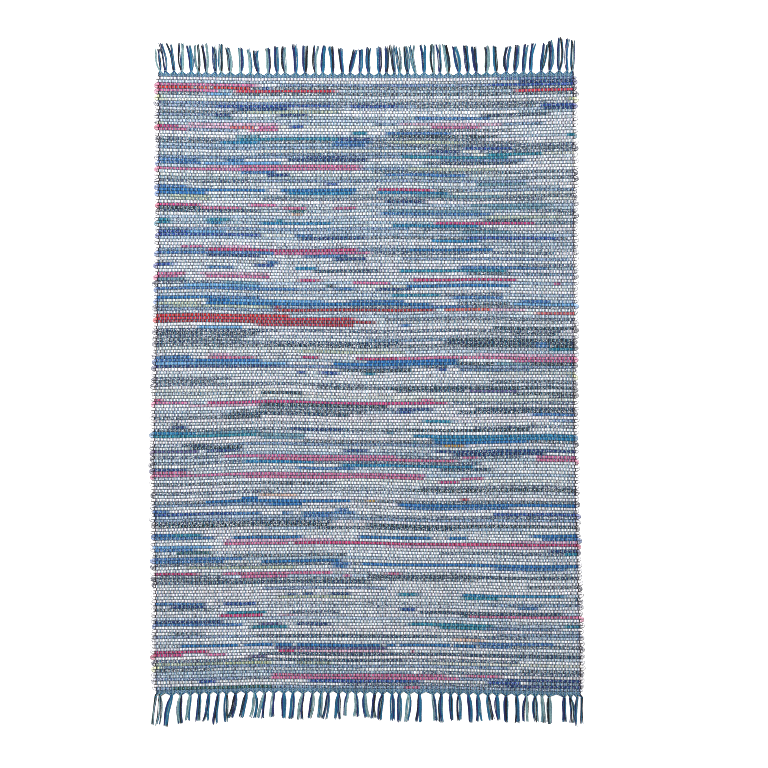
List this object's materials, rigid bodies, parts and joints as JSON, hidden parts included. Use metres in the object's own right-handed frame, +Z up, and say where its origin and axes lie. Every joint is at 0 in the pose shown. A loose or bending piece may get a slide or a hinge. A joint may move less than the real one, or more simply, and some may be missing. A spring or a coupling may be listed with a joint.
{
  "type": "rag rug",
  "caption": "Flat hand-woven rag rug with ribbed cotton cloth-strip field, small selvedge loops, fine yarn headings and knotted warp fringe at both ends.",
  "frame": {"origin": "middle of the rug's outer box, on its underside", "axes": "+X across the rug along the cloth-strip ribs, +Y along the warp towards the far fringe, +Z up out of the rug's face"},
  "size_m": [1.2084, 1.9144, 0.0057],
  "materials": {
    "rag_cloth": "matte woven cotton cloth strips in mixed pale blue, grey and white with coloured streaks",
    "warp_yarn": "matte plied cotton yarn in black, navy, denim blue and grey teal"
  },
  "bodies": {
    "root": {"rug_field": "rag_cloth", "fringe_far": "warp_yarn", "fringe_near": "warp_yarn"}
  },
  "joints": []
}
